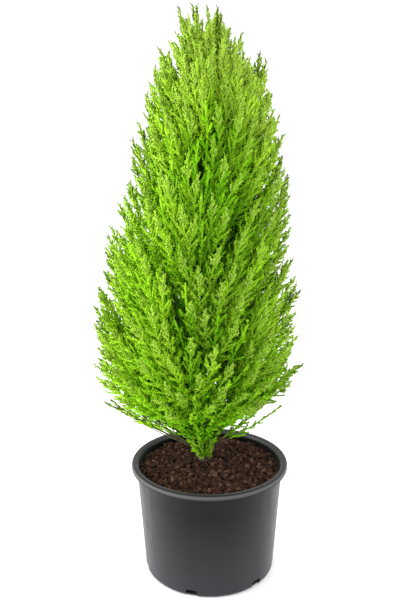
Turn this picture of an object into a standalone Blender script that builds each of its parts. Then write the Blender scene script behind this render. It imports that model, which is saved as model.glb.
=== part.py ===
"""Lemon cypress: a dense, feathery conifer of 0.79 m in a round black nursery pot.

The pot stands on z = 0 with its axis on the Z axis, and the photograph's camera looks along +Y.
A trunk rises from the potting mix to a thin leader. Boughs climb from it in a golden-angle spiral,
and each carries one mass of foliage: a small dense core with toothed plumes standing out of it.
"""

import math
import random

import bmesh
import bpy
import numpy as np
from mathutils import Matrix, Vector

# Pot, in metres. It is a common round container of about five litres.
POT_HEIGHT = 0.1670
RIM_RADIUS = 0.115
WALL_TOP_RADIUS = 0.1067
BASE_RADIUS = 0.0958
WALL = 0.0018
BASE_THICKNESS = 0.0022
CORNER = 0.0034
LIP_DROP = 0.0078
LIP_SKIRT = 0.0019
LIP_BEVEL = 0.0012
RIM_SOFTENING = 0.0008
DRAIN_HOLES = 6
DRAIN_WIDTH = 0.0168
DRAIN_HEIGHT = 0.0095
DRAIN_DEPTH = 0.0050
DRAIN_OUTSIDE = 0.006
DRAIN_PHASE = math.radians(-105.5)
POT_STEPS = 38

# Potting mix
GAP = 0.0003
MIX_CENTRE = 0.1585
MIX_EDGE = 0.1565
MIX_LEVEL_RADIUS = 0.052
MIX_SHOULDER = 0.018
MIX_SHOULDER_RISE = 0.0007
MIX_DRAIN_CLEARANCE = 0.002
MIX_LUMP = 0.0011

# Trunk
FOOT_HEIGHT = MIX_CENTRE + GAP
TRUNK_TOP = 0.660
TRUNK_RADIUS = 0.0064
TRUNK_TIP_RADIUS = 0.0016
FLARE = 0.0042
FLARE_HEIGHT = 0.016
FLARE_STEPS = (0.0, 0.0015, 0.006, FLARE_HEIGHT)
TRUNK_LINE = (
    # height, x, y of the trunk's centre line, which is also the crown's middle
    (0.155, -0.007, 0.016),
    (0.260, -0.018, 0.012),
    (0.360, -0.021, 0.006),
    (0.470, -0.015, 0.002),
    (0.580, -0.001, 0.000),
    (0.640, 0.003, 0.000),
    (0.690, 0.001, 0.000),
    (0.760, -0.006, 0.000),
    (0.800, -0.014, 0.000),
)

# Crown. A limb leaves the trunk at a height, reaches out and rises, and so meets the crown's outline.
LIMB_STATIONS = (
    # height on the trunk, reach from its centre line, rise, curve: over 1 it turns up, under 1 it levels off
    (0.168, 0.145, 0.122, 0.70),
    (0.180, 0.148, 0.138, 0.85),
    (0.200, 0.149, 0.150, 1.05),
    (0.225, 0.147, 0.158, 1.25),
    (0.260, 0.140, 0.172, 1.35),
    (0.320, 0.128, 0.180, 1.35),
    (0.385, 0.112, 0.182, 1.35),
    (0.455, 0.101, 0.178, 1.35),
    (0.520, 0.087, 0.168, 1.35),
    (0.575, 0.070, 0.155, 1.35),
    (0.625, 0.040, 0.135, 1.35),
    (0.675, 0.024, 0.110, 1.35),
)
BOUGHS = 22
HIGHEST_BOUGH = 0.575
BOUGH_PHASE = math.radians(-142.5)
GOLDEN_ANGLE = math.pi * (3 - math.sqrt(5))

# Bough: shares of its reach
BOUGH_LINE = (0.03, 0.12)
BOUGH_END = 0.20
BOUGH_POINTS = 4
BOUGH_RADIUS_LOW = 0.0027
BOUGH_RADIUS_HIGH = 0.0015
BOUGH_TAPER = 0.62

# Foliage mass
CORE_RINGS = ((0.28, 0.50), (0.38, 0.85), (0.52, 1.00), (0.63, 0.72))
CORE_SIDES = 6
CORE_FILL = 0.80
CORE_WIDEST = 0.062
CORE_HANG = 0.004
CORE_LEAST = 0.004
OUTLINE_STEP = 0.006
STEM_END = 0.40
STEM_SIDES = 6
STEM_TAPER = 0.7
CELL_GAP = 0.0013
TRUNK_CLEARANCE = 0.002
TOP_SPACE = 0.762
TOP_CORE = (
    # height over the trunk's tip, radius
    (0.005, 0.005),
    (0.022, 0.013),
    (0.055, 0.016),
    (0.090, 0.009),
)
TOP_STEM = 0.030
TOP_ROOT_LOW = 0.012
TOP_ROOT_HIGH = 0.066
TOP_PLUME_LENGTH = 0.070

# Plumes: the toothed blades of needles
PLUMES = 217
PLUME_PHASE = 2.1
CLOSER_ABOVE = 0.50
CLOSER = 1.7
SKIRT_PLUMES = 30
SKIRT_ROOT = 0.36
SKIRT_INNER = 0.20
SKIRT_REACH = 0.88
SKIRT_STEP = 0.012
PLUME_ROOT = 0.50
PLUME_ROOT_SPREAD = 0.55
ROOT_IN_CORE = 0.72
HANGING_ROOT_IN_CORE = 0.40
PLUME_SCATTER = 0.06
PLUME_SLENDERNESS = 0.175
STRAY_WIDTH = 0.85
LOW_SPRAY_WIDTH = 0.60
PLUME_RIDGE = 0.020
PLUME_ROLL = 0.7
PLUME_REACH_LOW = 0.92
PLUME_REACH_HIGH = 1.01
PLUME_TRIES = ((0.0, 1.0), (0.0, 0.7), (0.15, 0.8), (0.30, 0.7), (0.45, 0.55))
PLUME_TEETH = (
    # share of the length, share of the half width
    (0.60, 1.00),
    (0.84, 0.74),
)
NOTCH_DEPTH = 0.42
PLUME_BASE = 0.16
PLUME_APEX = 0.26
NOTCH_STEP = 0.025
EDGE_SAMPLES = 9

# The upright shoots that make the crown's top, and the sprays that stand out past its sides: tips x, y, z
LEADERS = (
    (-0.021, 0.004, 0.7930),
    (-0.039, -0.004, 0.7890),
    (-0.004, -0.012, 0.7900),
    (0.009, 0.006, 0.7900),
    (-0.030, 0.022, 0.7780),
    (-0.003, 0.024, 0.7740),
    (-0.018, -0.026, 0.7760),
)
STRAYS = (
    (-0.163, -0.010, 0.3160),
    (-0.161, 0.012, 0.3520),
    (-0.156, -0.022, 0.3850),
    (-0.153, -0.012, 0.4180),
    (-0.144, 0.014, 0.4740),
    (-0.139, -0.006, 0.5000),
    (-0.102, -0.010, 0.6300),
    (-0.083, 0.006, 0.6880),
    (-0.062, -0.012, 0.7400),
    (0.041, 0.014, 0.7580),
    (0.069, -0.010, 0.7300),
    (0.079, 0.010, 0.6850),
    (0.088, -0.014, 0.6580),
    (0.094, 0.008, 0.6280),
    (0.103, -0.006, 0.5850),
    (0.106, 0.000, 0.5550),
    (0.128, 0.010, 0.4200),
    (0.134, 0.000, 0.3140),
    (0.062, -0.130, 0.3000),
    (0.105, 0.090, 0.3000),
    (-0.075, 0.135, 0.3000),
)
LOW_SPRAYS = (
    (-0.150, 0.010, 0.2480),
    (-0.132, -0.030, 0.2440),
    (-0.108, 0.030, 0.2320),
    (-0.088, -0.020, 0.2260),
    (0.106, -0.010, 0.2620),
    (0.084, 0.010, 0.2480),
    (-0.020, 0.110, 0.2500),
)
# No leafy limb starts lower on the trunk than this, and no spray hangs lower
LOWEST_FOLIAGE = MIX_CENTRE + 0.006

LEAF_COLOUR = (0.30, 0.47, 0.045, 1.0)
BARK_COLOUR = (0.16, 0.09, 0.05, 1.0)
POT_COLOUR = (0.012, 0.012, 0.013, 1.0)
MIX_COLOUR = (0.035, 0.018, 0.011, 1.0)

stations = np.array(LIMB_STATIONS)
trunk_line = np.array(TRUNK_LINE)
parts = bpy.data.collections.new("lemon_cypress")
cutters = bpy.data.collections.new("cutters")


def clear_scene():
    for obj in list(bpy.data.objects):
        bpy.data.objects.remove(obj)
    bpy.context.scene.collection.children.link(parts)
    bpy.context.scene.collection.children.link(cutters)


def make_material(name, colour, roughness):
    material = bpy.data.materials.new(name)
    material.use_nodes = True
    shader = material.node_tree.nodes["Principled BSDF"]
    shader.inputs["Base Color"].default_value = colour
    shader.inputs["Roughness"].default_value = roughness
    shader.inputs["Metallic"].default_value = 0.0
    return material


def add_object(name, mesh, material, collection):
    obj = bpy.data.objects.new(name, mesh)
    collection.objects.link(obj)
    if material is not None:
        mesh.materials.clear()
        mesh.materials.append(material)
    return obj


def mesh_from(name, points, faces):
    mesh = bpy.data.meshes.new(name)
    mesh.from_pydata([tuple(p) for p in points], [], faces)
    mesh.update()
    return mesh


# Crown rule

def reach_at(h):
    return np.interp(h, stations[:, 0], stations[:, 1])


def climb_at(h, share):
    """How far the limb from height h has risen at a share of its reach."""
    rise, curve = (np.interp(h, stations[:, 0], stations[:, column]) for column in (2, 3))
    return rise * share**curve


def axis_at(z):
    """x and y of the trunk's centre line at height z."""
    return np.interp(z, trunk_line[:, 0], trunk_line[:, 1]), np.interp(z, trunk_line[:, 0], trunk_line[:, 2])


def crown_point(h, share, azimuth):
    """The point at a share of the reach of the limb that leaves the trunk at height h."""
    z = h + climb_at(h, share)
    r = reach_at(h) * share
    x, y = axis_at(z)
    return np.stack(np.broadcast_arrays(x + r * np.cos(azimuth), y + r * np.sin(azimuth), z), axis=-1)


def crown_place(points):
    """The reverse of crown_point: height on the trunk, share of the reach, azimuth."""
    x, y = axis_at(points[..., 2])
    dx, dy = points[..., 0] - x, points[..., 1] - y
    r = np.hypot(dx, dy)
    low = np.full(r.shape, 0.05)
    high = np.full(r.shape, 0.90)
    for _ in range(40):
        middle = (low + high) / 2
        too_high = middle + climb_at(middle, r / reach_at(middle)) > points[..., 2]
        high = np.where(too_high, middle, high)
        low = np.where(too_high, low, middle)
    return low, r / reach_at(low), np.arctan2(dy, dx)


def even_places(count, phase, highest, closer=1.0):
    """Heights on the trunk and azimuths, spread evenly over the crown's outline or closer near its top."""
    h = np.linspace(stations[0, 0], highest, 400)
    r, z = reach_at(h), h + climb_at(h, 1.0)
    strip = (r[1:] + r[:-1]) / 2 * np.hypot(np.diff(r), np.diff(z))
    strip *= np.where(h[1:] > CLOSER_ABOVE, closer, 1.0)
    area = np.concatenate([[0.0], np.cumsum(strip)]) / strip.sum()
    number = np.arange(count)
    return np.interp((number + 0.5) / count, area, h), (number * GOLDEN_ANGLE + phase) % (2 * math.pi)


def space_left(points, mass):
    """How far each point lies inside the space of its mass, or less than zero where it lies outside."""
    h, share, azimuth = crown_place(points)
    on_outline = crown_point(h, np.ones_like(share), azimuth)
    away = np.linalg.norm(on_outline[..., None, :] - mass_tips, axis=-1)
    own = away[..., mass, None]
    apart = np.linalg.norm(mass_tips - mass_tips[mass], axis=-1)
    apart[mass] = 1.0
    left = (away**2 - own**2) / (2 * apart)
    left[..., mass] = 1.0
    return left.min(axis=-1) * np.clip(share, 0.05, 1.0)


# Pot and potting mix

def turned(name, profile, material, collection):
    """A closed profile of (radius, height) points, turned about the Z axis."""
    mesh = bpy.data.meshes.new(name)
    mesh.from_pydata([(r, 0.0, z) for r, z in profile], [(i, i + 1) for i in range(len(profile) - 1)], [])
    obj = add_object(name, mesh, material, collection)
    screw = obj.modifiers.new("turn", "SCREW")
    screw.steps = POT_STEPS
    screw.render_steps = POT_STEPS
    screw.use_merge_vertices = True
    screw.merge_threshold = 0.00005
    return obj


def arc(centre, radius, start, end, count):
    angles = [math.radians(start + (end - start) * i / (count - 1)) for i in range(count)]
    return [(centre[0] + radius * math.cos(a), centre[1] + radius * math.sin(a)) for a in angles]


def pot_profile():
    """From the rim's inner edge over the lip and down the outside, then up the inside."""
    lip_radius = LIP_DROP / 2
    lip_middle = (RIM_RADIUS - lip_radius, POT_HEIGHT - lip_radius)
    skirt_inside = RIM_RADIUS - LIP_SKIRT
    roof = POT_HEIGHT - LIP_SKIRT
    under_lip = POT_HEIGHT - LIP_DROP
    slope = (WALL_TOP_RADIUS - BASE_RADIUS) / (under_lip - CORNER)
    outside = arc(lip_middle, lip_radius, 90, 0, 4)
    outside += [
        (RIM_RADIUS - GAP, under_lip),
        (skirt_inside, under_lip),
        (skirt_inside - LIP_BEVEL, roof - LIP_BEVEL),
        (WALL_TOP_RADIUS + LIP_SKIRT, roof - LIP_BEVEL),
        (WALL_TOP_RADIUS + slope * LIP_SKIRT, under_lip + LIP_SKIRT),
        (BASE_RADIUS, CORNER),
        (BASE_RADIUS - CORNER * 0.29, CORNER * 0.29),
        (BASE_RADIUS - CORNER, 0.0),
        (0.0, 0.0),
    ]
    inside = [
        (0.0, BASE_THICKNESS),
        (BASE_RADIUS - WALL - CORNER, BASE_THICKNESS),
        (BASE_RADIUS - WALL, CORNER + BASE_THICKNESS),
        (WALL_TOP_RADIUS - WALL, POT_HEIGHT - LIP_DROP / 2),
        (WALL_TOP_RADIUS + RIM_SOFTENING, POT_HEIGHT - RIM_SOFTENING),
    ]
    return outside, inside


def drain_cutter():
    """Boxes that open the corner between the pot's wall and its base."""
    block = bmesh.new()
    for number in range(DRAIN_HOLES):
        turn = Matrix.Rotation(DRAIN_PHASE + number * 2 * math.pi / DRAIN_HOLES, 4, "Z")
        move = Matrix.Translation((BASE_RADIUS + (DRAIN_OUTSIDE - DRAIN_DEPTH) / 2, 0, 0))
        size = Matrix.Diagonal((DRAIN_OUTSIDE + DRAIN_DEPTH, DRAIN_WIDTH, 2 * DRAIN_HEIGHT, 1))
        bmesh.ops.create_cube(block, size=1.0, matrix=turn @ move @ size)
    mesh = bpy.data.meshes.new("drain_cutter")
    block.to_mesh(mesh)
    block.free()
    obj = add_object("drain_cutter", mesh, None, cutters)
    obj.hide_render = True
    obj.display_type = "WIRE"
    return obj


def make_pot(material):
    outside, inside = pot_profile()
    ring = outside + inside
    pot = turned("pot", ring + [ring[0]], material, parts)
    cut = pot.modifiers.new("drain_holes", "BOOLEAN")
    cut.operation = "DIFFERENCE"
    cut.object = drain_cutter()
    return pot


def make_mix(material):
    """The potting mix fills the pot. Its lumpy top is level round the trunk and falls to the wall."""
    rng = random.Random(7)
    slope = (WALL_TOP_RADIUS - BASE_RADIUS) / (POT_HEIGHT - LIP_DROP - CORNER)
    bottom = BASE_THICKNESS + GAP
    bottom_radius = BASE_RADIUS - DRAIN_DEPTH - MIX_DRAIN_CLEARANCE
    side_low = DRAIN_HEIGHT + MIX_DRAIN_CLEARANCE
    low_radius = BASE_RADIUS - WALL - 2 * GAP + slope * (side_low - CORNER)
    edge_radius = low_radius + slope * (MIX_EDGE - side_low)
    level_edge = MIX_LEVEL_RADIUS + MIX_SHOULDER / 2
    block = bmesh.new()
    rings = [
        (bottom_radius, bottom),
        (bottom_radius, side_low - MIX_DRAIN_CLEARANCE),
        (low_radius, side_low),
        (edge_radius, MIX_EDGE),
        (edge_radius - MIX_SHOULDER, MIX_EDGE + MIX_SHOULDER_RISE),
        (level_edge, MIX_CENTRE - MIX_LUMP),
        (MIX_LEVEL_RADIUS, MIX_CENTRE),
    ]
    loops = []
    for number, (r, z) in enumerate(rings):
        lump = MIX_LUMP if 3 < number < len(rings) - 1 else 0.0
        angles = [2 * math.pi * i / POT_STEPS for i in range(POT_STEPS)]
        loops.append([
            block.verts.new((r * math.cos(a), r * math.sin(a), z + rng.uniform(-lump, lump))) for a in angles
        ])
    for lower, upper in zip(loops, loops[1:]):
        for i in range(POT_STEPS):
            j = (i + 1) % POT_STEPS
            block.faces.new((lower[i], lower[j], upper[j], upper[i]))
    block.faces.new(loops[0][::-1])
    block.faces.new(loops[-1])
    mesh = bpy.data.meshes.new("potting_mix")
    block.to_mesh(mesh)
    block.free()
    return add_object("potting_mix", mesh, material, parts)


# Trunk and boughs

def limb(name, points, radii, resolution, material):
    """A tapering limb: a curve through the points with a round section."""
    curve = bpy.data.curves.new(name, "CURVE")
    curve.dimensions = "3D"
    curve.bevel_depth = 1.0
    curve.bevel_resolution = resolution
    curve.use_fill_caps = True
    spline = curve.splines.new("POLY")
    spline.points.add(len(points) - 1)
    for target, point, radius in zip(spline.points, points, radii):
        target.co = (*point, 1.0)
        target.radius = radius
    obj = bpy.data.objects.new(name, curve)
    curve.materials.append(material)
    parts.objects.link(obj)
    return obj


def trunk_radius(z):
    share = (z - FOOT_HEIGHT) / (TRUNK_TOP - FOOT_HEIGHT)
    flare = max(0.0, 1 - (z - FOOT_HEIGHT) / FLARE_HEIGHT)
    return TRUNK_RADIUS + (TRUNK_TIP_RADIUS - TRUNK_RADIUS) * share + FLARE * flare**2


def make_trunk(material):
    heights = [FOOT_HEIGHT + step for step in FLARE_STEPS]
    heights += [z for z, _, _ in TRUNK_LINE if heights[-1] < z < TRUNK_TOP] + [TRUNK_TOP]
    points = [(*map(float, axis_at(z)), z) for z in heights]
    points[0] = (points[1][0], points[1][1], heights[0])
    return limb("trunk", points, [trunk_radius(z) for z in heights], 2, material)


def bough_radius(number):
    high = (mass_heights[number] - stations[0, 0]) / (TRUNK_TOP - stations[0, 0])
    return BOUGH_RADIUS_LOW + (BOUGH_RADIUS_HIGH - BOUGH_RADIUS_LOW) * high


def bough_line(number, shares):
    return crown_point(mass_heights[number], np.array(shares), mass_azimuths[number])


def make_bough(number, material):
    """From 0.3 mm off the trunk's bark to where its foliage begins."""
    radius = bough_radius(number)
    first, second = bough_line(number, BOUGH_LINE)
    climb = (second - first) / np.linalg.norm(second - first)
    off_axis = trunk_radius(first[2]) + radius * climb[2] + GAP
    start = off_axis / reach_at(mass_heights[number])
    shares = np.linspace(start, BOUGH_END, BOUGH_POINTS)
    radii = np.linspace(radius, radius * BOUGH_TAPER, BOUGH_POINTS)
    return limb(f"bough_{number + 1:02d}", bough_line(number, shares), radii, 1, material)


# Foliage masses

def outline_step(h):
    """Length along the crown's outline for each metre of height on the trunk."""
    near = crown_point(np.array((h, h + OUTLINE_STEP)), np.ones(2), 0.0)
    return float(np.linalg.norm(near[1] - near[0])) / OUTLINE_STEP


def core_extents(mass):
    """How far a core may run on the crown's outline from its mass's tip, in each of its directions."""
    h, azimuth = mass_heights[mass], mass_azimuths[mass]
    extents = []
    for side in range(CORE_SIDES):
        direction = 2 * math.pi * (side + 0.5) / CORE_SIDES
        lengths = np.linspace(CORE_LEAST, CORE_WIDEST, 30)
        heights = h + lengths * math.sin(direction) / outline_step(h)
        azimuths = azimuth + lengths * math.cos(direction) / reach_at(h)
        inside = space_left(crown_point(heights, np.ones_like(lengths), azimuths), mass) > 0
        inside &= (heights > stations[0, 0] - CORE_HANG) & (heights < stations[-1, 0])
        outside = np.flatnonzero(~inside)
        last = lengths[-1] if not len(outside) else lengths[max(outside[0] - 1, 0)]
        extents.append(CORE_FILL * last)
    return extents


def core_mesh(mass, rng):
    """The dense inner part of a mass, lofted through rings that keep inside the mass's space."""
    h, azimuth = mass_heights[mass], mass_azimuths[mass]
    ring_shapes = []
    for side, length in enumerate(core_sizes[mass]):
        direction = 2 * math.pi * (side + 0.5) / CORE_SIDES
        length *= rng.uniform(0.88, 1.0)
        d_h = length * math.sin(direction) / outline_step(h)
        ring_shapes.append((d_h, length * math.cos(direction) / reach_at(h)))
    points = []
    for share, size in CORE_RINGS:
        for d_h, d_azimuth in ring_shapes:
            points.append(crown_point(h + d_h * size, share, azimuth + d_azimuth * size))
    return loft(f"core_{mass}", points, len(CORE_RINGS), CORE_SIDES)


def loft(name, points, rings, sides):
    """A closed body through rings of points, with flat ends."""
    faces = [tuple(range(sides - 1, -1, -1)), tuple(range((rings - 1) * sides, rings * sides))]
    for ring in range(rings - 1):
        for i in range(sides):
            j = (i + 1) % sides
            a, b = ring * sides, (ring + 1) * sides
            faces.append((a + i, a + j, b + j, b + i))
    mesh = mesh_from(name, points, faces)
    face_outwards(mesh)
    return mesh


def face_outwards(mesh):
    block = bmesh.new()
    block.from_mesh(mesh)
    bmesh.ops.recalc_face_normals(block, faces=block.faces)
    block.to_mesh(mesh)
    block.free()


def leader_core_mesh():
    """The core of the topmost mass, an upright spindle that starts just above the trunk's tip."""
    points = []
    for rise, radius in TOP_CORE:
        z = TRUNK_TOP + rise
        x, y = axis_at(z)
        for i in range(CORE_SIDES):
            angle = 2 * math.pi * i / CORE_SIDES
            points.append((x + radius * math.cos(angle), y + radius * math.sin(angle), z))
    return loft("leader_core", points, len(TOP_CORE), CORE_SIDES)


def stem_mesh(start, end, start_radius, end_radius):
    """The straight first stretch of a mass's stem."""
    axis = end - start
    block = bmesh.new()
    place = Matrix.Translation((start + end) / 2) @ axis.to_track_quat("Z", "Y").to_matrix().to_4x4()
    bmesh.ops.create_cone(
        block,
        cap_ends=True,
        segments=STEM_SIDES,
        radius1=start_radius,
        radius2=end_radius,
        depth=axis.length,
        matrix=place,
    )
    mesh = bpy.data.meshes.new("stem")
    block.to_mesh(mesh)
    block.free()
    return mesh


def blade_outline(length, half_width):
    """Across and along for each outline point: up the right side, to the tip, and down the left."""
    right = [(half_width * PLUME_BASE, 0.0)]
    for along, width in PLUME_TEETH:
        right.append((half_width * width, along * length))
        right.append((half_width * width * NOTCH_DEPTH, (along + NOTCH_STEP) * length))
    right.pop()
    left = [(-across, along) for across, along in reversed(right)]
    return right + [(0.0, length)] + left


def blade_frame(root, tip, roll):
    """Axes of a blade: across, along and out of its flat side, which faces away from the crown's middle."""
    along = (tip - root).normalized()
    x, y = axis_at(root.z)
    outward = Vector((tip.x - float(x), tip.y - float(y), 0.0))
    if outward.length < 0.004:
        outward = Vector((math.cos(roll * 9), math.sin(roll * 9), 0.0))
    normal = (outward - along * outward.dot(along)).normalized()
    normal.rotate(Matrix.Rotation(roll, 3, along))
    return along.cross(normal), along, normal


def blade_points(root, tip, slenderness, roll):
    """The corners of a toothed blade: its outline, then the two ends of its ridge's thickness."""
    across, along, normal = blade_frame(root, tip, roll)
    length = (tip - root).length
    outline = blade_outline(length, length * slenderness)
    points = [root + across * x + along * y for x, y in outline]
    ridge = root + along * (length * PLUME_APEX)
    half = length * PLUME_RIDGE
    return points + [ridge + normal * half, ridge - normal * half]


def blade_mesh(name, points):
    """Fans from both ends of the ridge to the outline."""
    count = len(points) - 2
    front = [(i, (i + 1) % count, count) for i in range(count)]
    back = [((i + 1) % count, i, count + 1) for i in range(count)]
    mesh = mesh_from(name, points, front + back)
    face_outwards(mesh)
    return mesh


def edge_samples(points):
    """Points on the outline of a blade, a few millimetres apart, and on its ridge."""
    outline = np.array(points[:-2])
    following = np.roll(outline, -1, axis=0)
    shares = np.linspace(0, 1, EDGE_SAMPLES)[:-1, None, None]
    along_edges = (outline * (1 - shares) + following * shares).reshape(-1, 3)
    return np.concatenate([along_edges, np.array(points[-2:])])


def fits(points, mass, low):
    """True if a blade keeps to its mass's space, off the trunk, and over the lowest limb or the pot."""
    samples = edge_samples(points)
    x, y = axis_at(samples[:, 2])
    off_trunk = np.hypot(samples[:, 0] - x, samples[:, 1] - y) > TRUNK_RADIUS + TRUNK_CLEARANCE
    above_trunk = samples[:, 2] > TRUNK_TOP + TRUNK_CLEARANCE
    high_enough = samples[:, 2] > LOWEST_FOLIAGE if low else crown_place(samples)[0] > LOWEST_FOLIAGE
    return bool(
        (space_left(samples, mass) > CELL_GAP).all()
        and (off_trunk | above_trunk).all()
        and high_enough.all()
    )


def plume_root(mass, h, share, azimuth, tip):
    """Where a plume's twig starts: inside the core of its mass, on the side of the plume's own line."""
    if mass == BOUGHS:
        z = max(TRUNK_TOP + TOP_ROOT_LOW, min(tip[2] - TOP_PLUME_LENGTH, TRUNK_TOP + TOP_ROOT_HIGH))
        x, y = axis_at(z)
        return Vector((float(x), float(y), z))
    own_h, own_azimuth = mass_heights[mass], mass_azimuths[mass]
    turn = (azimuth - own_azimuth + math.pi) % (2 * math.pi) - math.pi
    along, up = turn * reach_at(own_h), (h - own_h) * outline_step(own_h)
    side = math.atan2(up, along) / (2 * math.pi) * CORE_SIDES - 0.5
    before = math.floor(side)
    core = min(core_sizes[mass][before % CORE_SIDES], core_sizes[mass][(before + 1) % CORE_SIDES])
    hangs = share < SKIRT_REACH
    inside = core * (HANGING_ROOT_IN_CORE if hangs else ROOT_IN_CORE)
    spread = min(PLUME_ROOT_SPREAD, inside / math.hypot(along, up))
    start = SKIRT_ROOT if hangs else PLUME_ROOT
    return Vector(crown_point(own_h + (h - own_h) * spread, start, own_azimuth + turn * spread))


def plume_tips(rng):
    """Every plume's tip: over the outline, along the lowest limbs, and then the named ones."""
    tips = []
    for h, a in zip(*even_places(PLUMES, PLUME_PHASE, stations[-1, 0], CLOSER)):
        scatter = rng.uniform(-PLUME_SCATTER, PLUME_SCATTER)
        tips.append(crown_point(h, rng.uniform(PLUME_REACH_LOW, PLUME_REACH_HIGH), a + scatter))
    for number in range(SKIRT_PLUMES):
        share = SKIRT_INNER + (SKIRT_REACH - SKIRT_INNER) * math.sqrt((number + 0.5) / SKIRT_PLUMES)
        tips.append(crown_point(stations[0, 0] + rng.uniform(0.0, SKIRT_STEP), share, number * GOLDEN_ANGLE))
    return np.concatenate([tips, LEADERS + STRAYS + LOW_SPRAYS])


def grow_plumes(rng):
    """Each mass's blades, as lists of corners. A plume that fits nowhere in its mass's space is left out."""
    tips = plume_tips(rng)
    h, share, azimuth = crown_place(tips)
    on_outline = crown_point(h, np.ones_like(share), azimuth)
    owners = np.linalg.norm(on_outline[:, None, :] - mass_tips, axis=-1).argmin(axis=1)
    grown = [[] for _ in mass_tips]
    first_low = len(tips) - len(LOW_SPRAYS)
    widths = np.ones(len(tips))
    widths[first_low - len(STRAYS):] = STRAY_WIDTH
    widths[first_low:] = LOW_SPRAY_WIDTH
    for number, (tip, mass) in enumerate(zip(tips, owners)):
        root = plume_root(mass, h[number], share[number], azimuth[number], tip)
        middle = Vector(mass_tips[mass])
        slenderness = PLUME_SLENDERNESS * widths[number]
        roll = rng.uniform(-PLUME_ROLL, PLUME_ROLL)
        for pull, width in PLUME_TRIES:
            end = Vector(tip).lerp(middle, pull)
            points = blade_points(root, end, slenderness * width, roll)
            if fits(points, mass, number >= first_low):
                grown[mass].append(points)
                break
    return grown


def largest_body(mesh):
    """Drops loose scraps and fills sealed hollows, by keeping only the body with the most volume."""
    block = bmesh.new()
    block.from_mesh(mesh)
    bmesh.ops.triangulate(block, faces=block.faces)
    left = set(block.verts)
    bodies = []
    while left:
        body, edge = set(), [left.pop()]
        while edge:
            vert = edge.pop()
            body.add(vert)
            for link in vert.link_edges:
                other = link.other_vert(vert)
                if other in left:
                    left.remove(other)
                    edge.append(other)
        faces = {face for vert in body for face in vert.link_faces}
        volume = sum(f.verts[0].co.dot(f.verts[1].co.cross(f.verts[2].co)) for f in faces) / 6
        bodies.append((volume, body))
    bodies.sort(key=lambda item: item[0])
    scraps = [vert for _, body in bodies[:-1] for vert in body]
    bmesh.ops.delete(block, geom=scraps, context="VERTS")
    block.to_mesh(mesh)
    block.free()


def fuse(name, core, pieces, material):
    """One solid from a core and the pieces that are rooted in it."""
    obj = add_object(name, core, material, parts)
    joined = bpy.data.collections.new(name + "_pieces")
    cutters.children.link(joined)
    for number, mesh in enumerate(pieces):
        add_object(f"{name}_piece_{number}", mesh, material, joined)
    union = obj.modifiers.new("fuse", "BOOLEAN")
    union.operation = "UNION"
    union.operand_type = "COLLECTION"
    union.collection = joined
    union.solver = "EXACT"
    graph = bpy.context.evaluated_depsgraph_get()
    fused = bpy.data.meshes.new_from_object(obj.evaluated_get(graph))
    obj.modifiers.clear()
    obj.data = fused
    for piece in list(joined.objects):
        bpy.data.objects.remove(piece)
    bpy.data.collections.remove(joined)
    largest_body(fused)
    fused.materials.clear()
    fused.materials.append(material)
    return obj


def mass_stem(mass):
    """The mass's stem, from 0.3 mm past its bough's tip into its core."""
    if mass == BOUGHS:
        start = Vector((*map(float, axis_at(TRUNK_TOP)), TRUNK_TOP + GAP))
        top = TRUNK_TOP + TOP_STEM
        end = Vector((*map(float, axis_at(top)), top))
        return stem_mesh(start, end, TRUNK_TIP_RADIUS, TRUNK_TIP_RADIUS * STEM_TAPER)
    tip, end = (Vector(p) for p in bough_line(mass, (BOUGH_END, STEM_END)))
    start = tip + (end - tip).normalized() * GAP
    radius = bough_radius(mass) * BOUGH_TAPER
    return stem_mesh(start, end, radius, radius * STEM_TAPER)


def mass_name(mass):
    return "foliage_top" if mass == BOUGHS else f"foliage_{mass + 1:02d}"


def make_masses(material):
    rng = random.Random(11)
    grown = grow_plumes(rng)
    for mass, blades in enumerate(grown):
        core = leader_core_mesh() if mass == BOUGHS else core_mesh(mass, rng)
        pieces = [mass_stem(mass)]
        pieces += [blade_mesh(f"plume_{mass}_{i}", points) for i, points in enumerate(blades)]
        fuse(mass_name(mass), core, pieces, material)
        print(mass_name(mass), len(blades), "plumes")


clear_scene()
mass_heights, mass_azimuths = even_places(BOUGHS, BOUGH_PHASE, HIGHEST_BOUGH)
top_middle = [[*map(float, axis_at(TOP_SPACE)), TOP_SPACE]]
mass_tips = np.concatenate([crown_point(mass_heights, np.ones(BOUGHS), mass_azimuths), top_middle])
core_sizes = [core_extents(mass) for mass in range(BOUGHS)]
leaf_material = make_material("foliage", LEAF_COLOUR, 0.6)
bark_material = make_material("bark", BARK_COLOUR, 0.85)
make_pot(make_material("black_plastic", POT_COLOUR, 0.42))
make_mix(make_material("potting_mix", MIX_COLOUR, 0.95))
make_trunk(bark_material)
for bough in range(BOUGHS):
    make_bough(bough, bark_material)
make_masses(leaf_material)
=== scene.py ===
import math

import bmesh
import bpy
import numpy as np
from mathutils import Matrix, Vector


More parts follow.
